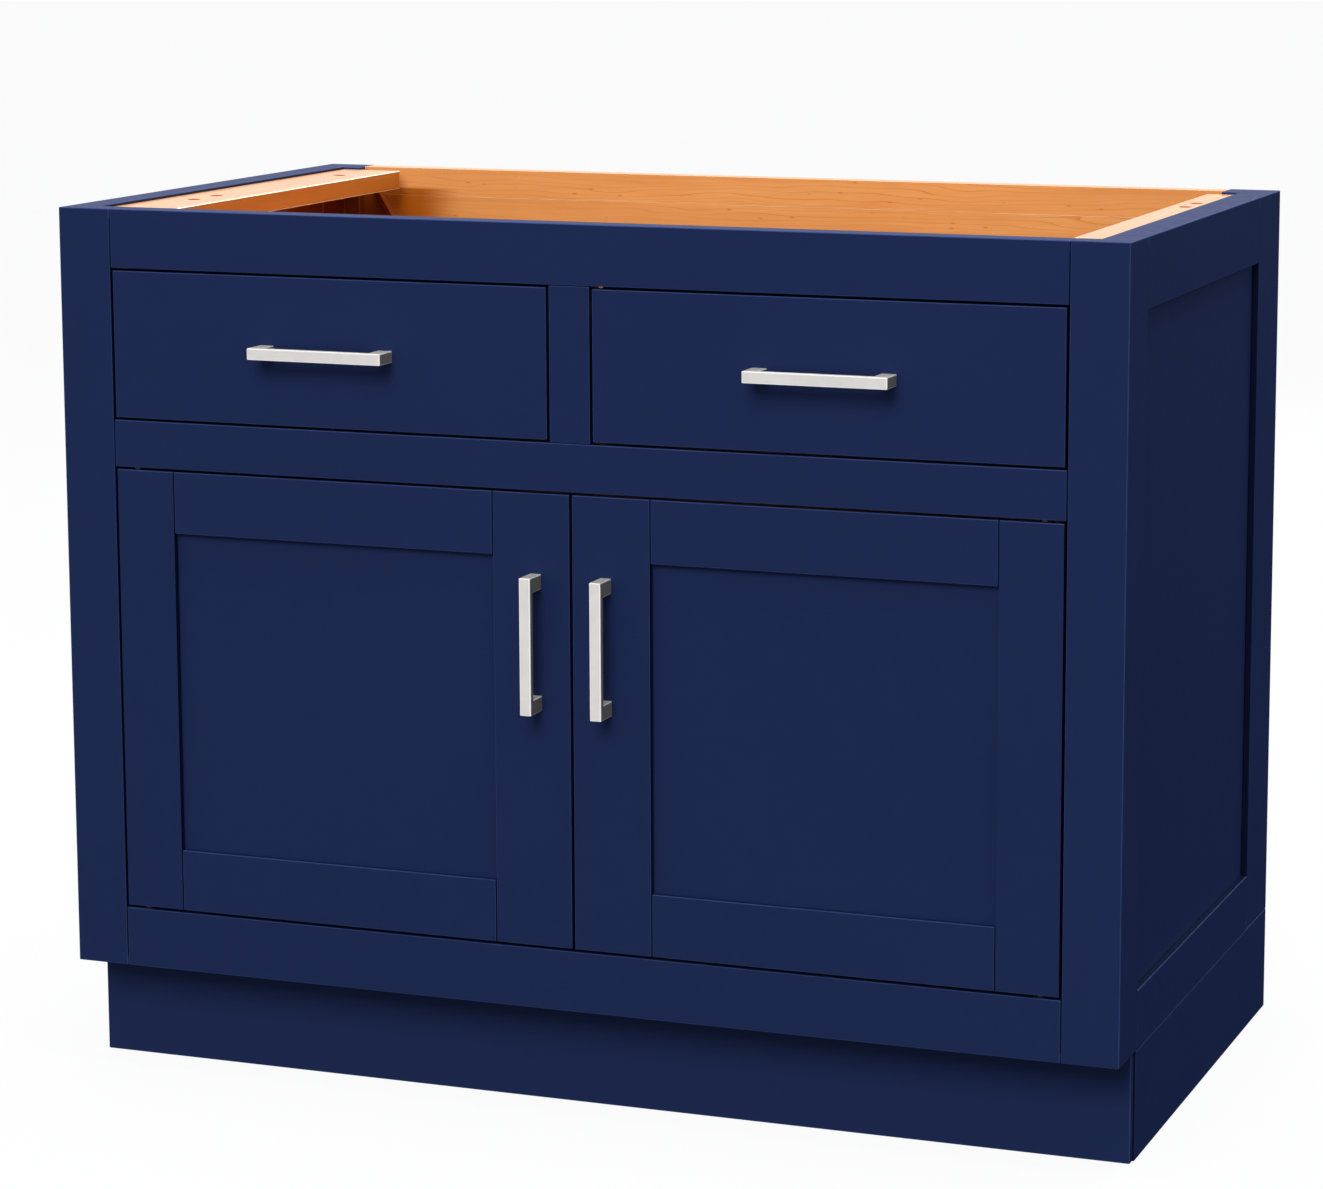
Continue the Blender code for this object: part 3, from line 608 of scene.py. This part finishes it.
def coat_share(surface):
    """How much clear coat shows: full on faces that look up, forward or back, and less on those across."""
    return surface.span(surface.parts(surface.facing())[0], *COAT_TURN, 1.0, COAT_ACROSS)


def inside_cabinet(surface):
    """1 on faces that look into the cabinet's inside, and 0 elsewhere."""
    low = (-PANEL_INNER_FACE, FRAME_BACK, KICK_TOP)
    high = (PANEL_INNER_FACE, BACK_FACE, STRIP_TOP)
    return surface.within(surface.just_outside(), low, high)


def screw_holes(surface):
    """1 in and just round the screw holes of the top strips, and 0 elsewhere."""
    flat = surface.vector("MULTIPLY", surface.place.outputs["Object"], (1.0, 1.0, 0.0))
    nearest = FAR
    for opening in frame["record"]["physics"]["openings"]:
        if "screw_hole" not in opening["name"]:
            continue
        low, high = (Vector(corner) for corner in opening["box_m"])
        middle = (low + high) / 2
        node = surface.add("ShaderNodeVectorMath", operation="DISTANCE")
        surface.link(flat, node.inputs[0])
        node.inputs[1].default_value = (middle.x, middle.y, 0.0)
        nearest = surface.maths("MINIMUM", nearest, node.outputs["Value"])
    return surface.below(nearest, HOLE_REACH)


# Materials


def make_paint(axis):
    """Navy paint all round: doors and drawer fronts."""
    surface = Surface(f"navy_paint_{axis.lower()}")
    colour, rough, height = paint_look(surface, axis)
    surface.set(Base_Color=colour, Roughness=rough, Specular_IOR_Level=PAINT_SPECULAR)
    surface.bump(height, *PAINT_BUMP)
    return surface.material


def make_part_painted(axis):
    """Navy paint outside and bare clear-coated maple on the faces inside the cabinet."""
    surface = Surface(f"navy_and_maple_{axis.lower()}")
    paint_colour, paint_rough, paint_height = paint_look(surface, axis)
    # The maple inside gets painted shade on the faces that look across the cabinet
    maple_colour, maple_rough, maple_height = maple_look(surface, axis, MAPLE_SIDE_SHADE)
    inside = inside_cabinet(surface)
    surface.set(
        Base_Color=surface.mix(inside, paint_colour, maple_colour),
        Roughness=surface.span(inside, 0.0, 1.0, paint_rough, maple_rough),
        Coat_Weight=surface.both(inside, coat_share(surface)),
        Specular_IOR_Level=PAINT_SPECULAR,
        Coat_Roughness=COAT_ROUGHNESS,
    )
    surface.bump(surface.span(inside, 0.0, 1.0, paint_height, maple_height), *PAINT_BUMP)
    return surface.material


def set_maple(surface, look, coat):
    colour, rough, height = look
    surface.set(
        Base_Color=colour,
        Roughness=rough,
        Specular_IOR_Level=MAPLE_SPECULAR,
        Coat_Weight=coat,
        Coat_Roughness=COAT_ROUGHNESS,
    )
    surface.bump(height, *MAPLE_BUMP)


def make_maple(axis):
    """Clear-coated maple all round."""
    surface = Surface(f"maple_{axis.lower()}")
    set_maple(surface, maple_look(surface, axis), coat_share(surface))
    return surface.material


def make_brace_maple():
    """The corner braces, in painted shade like the corners that they stand in."""
    surface = Surface("maple_brace")
    colour, rough, height = maple_look(surface, "Z", highlight_share=0.0)
    # Painted shade over the whole brace
    colour = surface.tinted(1.0, colour, MAPLE_SHADED)
    set_maple(surface, (colour, rough, height), COAT_ACROSS)
    return surface.material


def make_strip_maple():
    """The top strips: painted shade that turns their inner faces deep orange, and painted shade in and round
    the holes, where the coat is left off.
    """
    surface = Surface("maple_strip")
    colour, rough, height = maple_look(surface, "Y", MAPLE_SIDE_SHADE, highlight_share=1.0)
    shaded_bare_hole = screw_holes(surface)
    # Painted shade in and round the holes, which are also rough and bare of coat
    colour = surface.mix(shaded_bare_hole, colour, MAPLE_HOLE_SHADE)
    rough = surface.span(shaded_bare_hole, 0.0, 1.0, rough, 1.0)
    coat = surface.maths("SUBTRACT", coat_share(surface), shaded_bare_hole, clamp=True)
    set_maple(surface, (colour, rough, height), coat)
    return surface.material


def make_metal(name, colour, axis, roughness, metallic=1.0):
    """Brushed metal with its strokes along an axis, with painted highlights on its edges, and painted shade
    on its sides, top and bottom, which are also less metallic.
    """
    surface = Surface(f"{name}_{axis.lower()}")
    stroke = surface.noise(along(axis, *METAL_STROKE), seed=10.0)
    cloud = surface.noise(even(METAL_CLOUD), seed=11.0)
    darker = tuple(DARK_METAL * channel for channel in colour)
    # Painted highlight for the eased edges
    edge_highlight = tuple(min(1.0, METAL_HIGHLIGHT * channel) for channel in colour)
    share = surface.weighted(METAL_TONE_WEIGHTS, stroke, cloud)
    brushed = surface.mix(surface.span(share, *METAL_TONE_BAND), darker, colour)
    facing = surface.parts(surface.facing())
    aside = surface.above(facing[0], FACE_ON)
    level = surface.above(facing[2], FACE_ON)
    # Painted shade on the faces that look sideways, up or down
    shade = surface.tinted(aside, surface.tinted(level, brushed, METAL_LEVEL_SHADE), METAL_SIDE_SHADE)
    dull = surface.either(aside, level)
    surface.set(
        Base_Color=surface.mix(surface.eased_edge(), shade, edge_highlight),
        Metallic=surface.span(dull, 0.0, 1.0, metallic, DULL_METALLIC * metallic),
        Roughness=surface.span(stroke, *NOISE_BAND, *roughness),
    )
    surface.bump(stroke, *METAL_BUMP)
    return surface.material


def make_nylon():
    """Moulded nylon, faintly clouded."""
    surface = Surface("nylon")
    cloud = surface.noise(even(NYLON_CLOUD), seed=12.0)
    darker = tuple(DARK_NYLON * channel for channel in NYLON)
    surface.set(
        Base_Color=surface.mix(surface.span(cloud, *NOISE_BAND), darker, NYLON),
        Roughness=surface.span(cloud, *NOISE_BAND, *NYLON_ROUGHNESS),
    )
    surface.bump(cloud, *NYLON_BUMP)
    return surface.material


def make_materials():
    """{(look, grain axis): material}. A look is a finish slot, or a variety of one."""
    nylon = make_nylon()
    made = {("strip", "Y"): make_strip_maple(), ("brace", "Z"): make_brace_maple()}
    for axis in AXES:
        made["nylon", axis] = nylon
        made["paint", axis] = make_paint(axis)
        made["part_painted", axis] = make_part_painted(axis)
        made["maple", axis] = make_maple(axis)
        made["satin_nickel", axis] = make_metal("satin_nickel", NICKEL, axis, PULL_ROUGHNESS, PULL_METALLIC)
        made["pin_steel", axis] = make_metal("pin_steel", STEEL, axis, PIN_ROUGHNESS)
    return made


# CAD nodes


def longest_axis(node):
    low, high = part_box(node)
    size = high - low
    return AXES[max(range(3), key=lambda index: size[index])]


def all_square(mesh):
    """Whether every face looks along an axis, so that its triangles join into one clean outline."""
    return all(max(abs(part) for part in face.normal) > SQUARE for face in mesh.polygons)


def ease_edges(obj, radius):
    """Rounds an object's sharp edges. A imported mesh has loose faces, so they are welded first."""
    weld = obj.modifiers.new("Weld", "WELD")
    weld.merge_threshold = WELD_DISTANCE
    if all_square(obj.data):
        flatten = obj.modifiers.new("Whole faces", "DECIMATE")
        flatten.decimate_type = "DISSOLVE"
        flatten.angle_limit = radians(FLAT_ANGLE)
    bevel = obj.modifiers.new("Eased edges", "BEVEL")
    bevel.width = radius
    bevel.segments = EDGE_SEGMENTS
    bevel.limit_method = "ANGLE"
    bevel.angle_limit = radians(EDGE_ANGLE)
    bevel.use_clamp_overlap = False


def look_of(name, slot):
    """Which material a CAD node gets: its slot's own, or a variety of it."""
    if name.startswith("top_strip"):
        return "strip"
    if slot != "navy_paint":
        return slot
    on_carcass = name in frame["record"]["behaviour"]["bodies"]["carcass"]
    return "part_painted" if on_carcass else "paint"


def dress_nodes(materials):
    for name, node in frame["nodes"].items():
        slot = node.material_slots[0].material.name
        node.material_slots[0].material = materials[look_of(name, slot), longest_axis(name)]
        ease_edges(node, BACK_EDGE if name.startswith("back_") else EDGE_OF_SLOT[slot])


# Small fastenings


def finish_piece(name, mesh, body, material, edge=0.0):
    """Puts a new piece in the scene, on its body and in its finish."""
    piece = bpy.data.objects.new(name, mesh)
    bpy.context.scene.collection.objects.link(piece)
    mesh.materials.append(material)
    if edge:
        ease_edges(piece, edge)
    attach(piece, body)


def extruded(name, outline, low, high, place):
    """A closed prism: an outline's points, each taken to a low and a high end by place(u, v, w)."""
    shape = bmesh.new()
    ends = [[shape.verts.new(place(u, v, w)) for u, v in outline] for w in (low, high)]
    shape.faces.new(ends[0][::-1])
    shape.faces.new(ends[1])
    for step in range(len(outline)):
        after = (step + 1) % len(outline)
        shape.faces.new((ends[0][step], ends[0][after], ends[1][after], ends[1][step]))
    bmesh.ops.recalc_face_normals(shape, faces=shape.faces[:])
    mesh = bpy.data.meshes.new(name)
    shape.to_mesh(mesh)
    shape.free()
    return mesh


def turned(name, profile, sides):
    """A closed round solid about Z from (radius, height) points, lowest first."""
    shape = bmesh.new()
    turns = [2 * pi * step / sides for step in range(sides)]
    rings = [
        [shape.verts.new((radius * cos(turn), radius * sin(turn), height)) for turn in turns]
        for radius, height in profile
    ]
    shape.faces.new(rings[0][::-1])
    shape.faces.new(rings[-1])
    for lower, upper in zip(rings, rings[1:]):
        for step in range(sides):
            after = (step + 1) % sides
            shape.faces.new((lower[step], lower[after], upper[after], upper[step]))
    mesh = bpy.data.meshes.new(name)
    shape.to_mesh(mesh)
    shape.free()
    return mesh


def screw_blank():
    """A screw's pan head with no recess, standing along +Z on the surface that it holds."""
    turns = [pi / 2 * step / SCREW_HEAD_STEPS for step in range(SCREW_HEAD_STEPS + 1)]
    dome = [
        (
            SCREW_HEAD_RADIUS * (SCREW_HEAD_FLAT + (1 - SCREW_HEAD_FLAT) * cos(turn)),
            SCREW_HEAD_HEIGHT * (SCREW_HEAD_RIM + (1 - SCREW_HEAD_RIM) * sin(turn)),
        )
        for turn in turns
    ]
    return turned("screw_head", [(SCREW_HEAD_RADIUS, -SCREW_SINK), *dome], SCREW_HEAD_SIDES)


def cross_recess():
    """The tapered cross that is cut into a screw's head."""
    arm, half = RECESS_ARM, RECESS_HALF_WIDTH
    quarter = [(half, -half), (arm, -half), (arm, half)]
    cross = [
        (u * cos(turn) - v * sin(turn), u * sin(turn) + v * cos(turn))
        for turn in (0, pi / 2, pi, 3 * pi / 2)
        for u, v in quarter
    ]

    def tapered(u, v, w):
        shrink = 1.0 if w > SCREW_HEAD_HEIGHT else RECESS_TAPER
        return (u * shrink, v * shrink, w)

    floor = SCREW_HEAD_HEIGHT - RECESS_DEPTH
    return extruded("recess", cross, floor, SCREW_HEAD_HEIGHT + RECESS_DEPTH, tapered)


def screw_head():
    """A pan head with a cross recess, as a mesh."""
    head = bpy.data.objects.new("screw_head", screw_blank())
    cutter = bpy.data.objects.new("recess", cross_recess())
    for obj in (head, cutter):
        bpy.context.scene.collection.objects.link(obj)
    cut = head.modifiers.new("recess", "BOOLEAN")
    cut.operation = "DIFFERENCE"
    cut.solver = "EXACT"
    cut.object = cutter
    bpy.context.view_layer.update()
    graph = bpy.context.evaluated_depsgraph_get()
    cut_mesh = bpy.data.meshes.new_from_object(head.evaluated_get(graph))
    for obj in (head, cutter):
        bpy.data.objects.remove(obj, do_unlink=True)
    return cut_mesh


def make_pull_screws(owner, pull, board, head, material):
    """The two screws that hold a pull, on the inner face of its door or drawer front."""
    low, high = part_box(pull)
    size = high - low
    axis = 0 if size.x > size.z else 2
    shape = bmesh.new()
    for end, sign, turn in zip((low, high), (1, -1), RECESS_TURNS):
        middle = (low + high) / 2
        middle[axis] = end[axis] + sign * PULL_SCREW_INSET
        middle.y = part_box(board)[1].y
        lean = Matrix.Rotation(radians(-90), 4, "X") @ Matrix.Rotation(radians(turn), 4, "Z")
        copy = head.copy()
        copy.transform(Matrix.Translation(middle) @ lean)
        shape.from_mesh(copy)
        bpy.data.meshes.remove(copy)
    mesh = bpy.data.meshes.new(f"{owner}_pull_screws")
    shape.to_mesh(mesh)
    shape.free()
    mesh.shade_smooth()
    mesh.set_sharp_from_angle(angle=radians(EDGE_ANGLE))
    finish_piece(f"{owner}_pull_screws", mesh, owner, material)


def make_drawer_stop(side, material):
    """An angle behind the top rail that a drawer front closes against, painted where it shows in the gap."""
    low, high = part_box(f"drawer_{side}_front")
    lip = high.y + TOUCHING_GAP
    front = FRAME_BACK
    rear = front + STOP_THICKNESS
    foot = high.z - STOP_OVERLAP
    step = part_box("face_rail_top")[0].z - TOUCHING_GAP
    outline = (
        (lip, foot),
        (rear, foot),
        (rear, foot + STOP_HEIGHT),
        (front, foot + STOP_HEIGHT),
        (front, step),
        (lip, step),
    )
    name = f"drawer_{side}_stop"
    ends = (low.x + STOP_END_GAP, high.x - STOP_END_GAP)
    mesh = extruded(name, outline, *ends, lambda y, z, x: (x, y, z))
    finish_piece(name, mesh, "carcass", material, MAPLE_EDGE)


def make_corner_brace(side, material):
    """A slanted batten glued to the back panel in an upper corner, from under the top strip."""
    sign = -1 if side == "left" else 1
    strip_low, strip_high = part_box(f"top_strip_{side}")
    top = strip_low.z - TOUCHING_GAP
    start = sign * BRACE_START
    slant = atan2(BRACE_DROP, BRACE_RUN)
    across = BRACE_WIDTH / sin(slant)
    outline = (
        (start, top),
        (start - sign * across, top),
        (start - sign * (across + BRACE_RUN), top - BRACE_DROP),
        (start - sign * BRACE_RUN, top - BRACE_DROP),
    )
    rear = BACK_FACE - TOUCHING_GAP
    name = f"corner_brace_{side}"
    mesh = extruded(name, outline, rear - BRACE_THICKNESS, rear, lambda x, z, y: (x, y, z))
    finish_piece(name, mesh, "carcass", material, MAPLE_EDGE)


def make_fastenings(materials):
    head = screw_head()
    nickel = materials["satin_nickel", "Z"]
    for side in ("left", "right"):
        make_pull_screws(f"door_{side}", f"door_{side}_pull", f"door_{side}_inner_stile", head, nickel)
        make_pull_screws(f"drawer_{side}", f"drawer_{side}_pull", f"drawer_{side}_front", head, nickel)
        make_drawer_stop(side, materials["part_painted", "X"])
        make_corner_brace(side, materials["brace", "Z"])


# Stage, lights and camera


def make_floor():
    """A pale floor that catches soft shadows but throws no light back up on the cabinet."""
    mesh = bpy.data.meshes.new("floor")
    shape = bmesh.new()
    bmesh.ops.create_grid(shape, x_segments=2, y_segments=2, size=FLOOR_REACH)
    shape.to_mesh(mesh)
    shape.free()
    floor = bpy.data.objects.new("floor", mesh)
    bpy.context.scene.collection.objects.link(floor)
    material = bpy.data.materials.new("pale_floor")
    material.use_nodes = True
    tree = material.node_tree
    tree.nodes.clear()
    glow = tree.nodes.new("ShaderNodeEmission")
    glow.inputs["Color"].default_value = (*PALE_FLOOR, 1)
    glow.inputs["Strength"].default_value = 1.0
    matt = tree.nodes.new("ShaderNodeBsdfDiffuse")
    matt.inputs["Color"].default_value = (FLOOR_MATT, FLOOR_MATT, FLOOR_MATT, 1)
    both = tree.nodes.new("ShaderNodeAddShader")
    output = tree.nodes.new("ShaderNodeOutputMaterial")
    tree.links.new(glow.outputs[0], both.inputs[0])
    tree.links.new(matt.outputs[0], both.inputs[1])
    tree.links.new(both.outputs[0], output.inputs["Surface"])
    mesh.materials.append(material)
    floor.visible_diffuse = False
    floor.visible_glossy = False


def make_world():
    """The studio round the cabinet: white to the camera, and a dim room with a bright top to surfaces."""
    world = bpy.data.worlds.new("studio")
    bpy.context.scene.world = world
    world.use_nodes = True
    tree = world.node_tree
    tree.nodes.clear()
    room = tree.nodes.new("ShaderNodeTexCoord")
    parts = tree.nodes.new("ShaderNodeSeparateXYZ")
    tree.links.new(room.outputs["Generated"], parts.inputs[0])

    def ramp(direction, start, end, low=0.0, high=1.0):
        node = tree.nodes.new("ShaderNodeMapRange")
        tree.links.new(parts.outputs[direction], node.inputs[0])
        for socket, number in zip(list(node.inputs)[1:5], (start, end, low, high)):
            socket.default_value = number
        return node.outputs[0]

    def larger(first, second):
        node = tree.nodes.new("ShaderNodeMath")
        node.operation = "MAXIMUM"
        tree.links.new(first, node.inputs[0])
        tree.links.new(second, node.inputs[1])
        return node.outputs[0]

    ray = tree.nodes.new("ShaderNodeLightPath")
    walls = larger(ramp("Z", *WALL_RISE), ramp("Y", *WALL_TURN))
    seen = tree.nodes.new("ShaderNodeBackground")
    seen.inputs["Color"].default_value = (*WHITE_WALL, 1)
    tree.links.new(larger(walls, ray.outputs["Is Camera Ray"]), seen.inputs["Strength"])
    felt = tree.nodes.new("ShaderNodeBackground")
    tree.links.new(ramp("Z", *AMBIENT_RISE, AMBIENT_BELOW, AMBIENT_ABOVE), felt.inputs["Strength"])
    both = tree.nodes.new("ShaderNodeMixShader")
    output = tree.nodes.new("ShaderNodeOutputWorld")
    tree.links.new(ray.outputs["Is Diffuse Ray"], both.inputs[0])
    tree.links.new(seen.outputs[0], both.inputs[1])
    tree.links.new(felt.outputs[0], both.inputs[2])
    tree.links.new(both.outputs[0], output.inputs["Surface"])


def make_softbox(name, place, target, size, watts):
    light = bpy.data.lights.new(name, "AREA")
    light.shape = "RECTANGLE"
    light.size, light.size_y = size
    light.energy = watts
    lamp = bpy.data.objects.new(name, light)
    lamp.location = place
    lamp.rotation_euler = (Vector(target) - Vector(place)).to_track_quat("-Z", "Y").to_euler()
    lamp.visible_glossy = False
    lamp.visible_camera = False
    bpy.context.scene.collection.objects.link(lamp)


def make_lights():
    for name, settings in SOFTBOXES.items():
        make_softbox(name, *settings)


def make_camera():
    data = bpy.data.cameras.new("camera")
    data.lens = CAMERA_LENS
    data.sensor_width = CAMERA_SENSOR
    data.shift_x, data.shift_y = CAMERA_SHIFT
    camera = bpy.data.objects.new("camera", data)
    camera.location = CAMERA_PLACE
    camera.rotation_euler = (radians(90 - CAMERA_TILT_DOWN), 0.0, radians(CAMERA_TURN_LEFT))
    bpy.context.scene.collection.objects.link(camera)
    bpy.context.scene.camera = camera


make_camera()
make_world()
make_lights()
make_floor()
materials = make_materials()
dress_nodes(materials)
make_fastenings(materials)
bpy.context.scene.view_settings.view_transform = "Standard"
